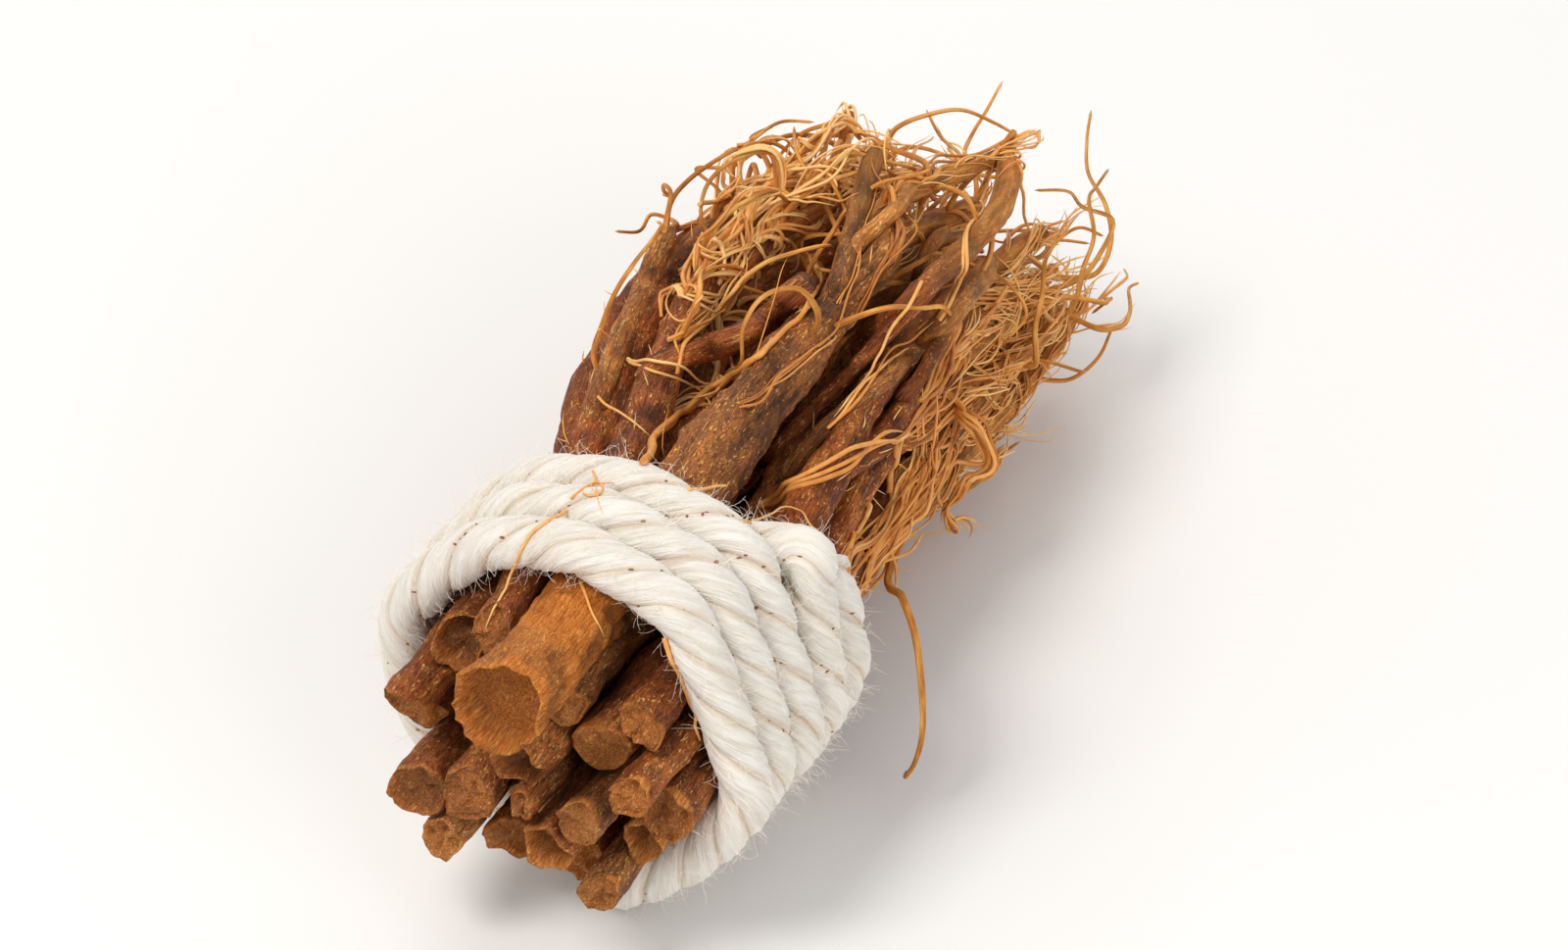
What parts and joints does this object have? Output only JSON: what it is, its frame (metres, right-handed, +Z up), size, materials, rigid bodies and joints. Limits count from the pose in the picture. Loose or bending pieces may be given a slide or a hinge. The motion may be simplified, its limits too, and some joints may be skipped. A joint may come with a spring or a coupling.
{
  "type": "ginseng root bundle",
  "caption": "Dried roots with forks and curly fibrous rootlets, lying as a bundle that turns of thick twisted cotton rope hold near its cut ends.",
  "frame": {"origin": "middle of the bundle's box on the surface it lies on", "axes": "+X along the bundle, from its cut ends to its fibrous tips; +Z up; +Y to the side it leans to"},
  "size_m": [0.1952, 0.0844, 0.0701],
  "materials": {
    "bark_dark": "dry, furrowed",
    "bark_reddish": "dry, fairly smooth",
    "bark_grey": "dry, flaky",
    "bark_tan": "dry, fibrous",
    "cotton": "soft, twisted"
  },
  "bodies": {
    "root": {"root_01": "bark_reddish", "root_02": "bark_reddish", "root_03": "bark_dark", "root_04": "bark_grey", "root_05": "bark_reddish", "root_06": "bark_reddish", "root_07": "bark_dark", "root_08": "bark_tan", "root_09": "bark_grey", "root_10": "bark_reddish", "root_11": "bark_dark", "root_12": "bark_tan", "root_13": "bark_dark", "root_14": "bark_dark", "root_15": "bark_grey", "root_16": "bark_dark", "root_17": "bark_tan", "root_18": "bark_dark", "root_19": "bark_grey", "root_20": "bark_dark", "root_21": "bark_tan", "root_22": "bark_dark", "root_23": "bark_dark", "root_24": "bark_dark", "rope_tie": "cotton"}
  },
  "joints": []
}
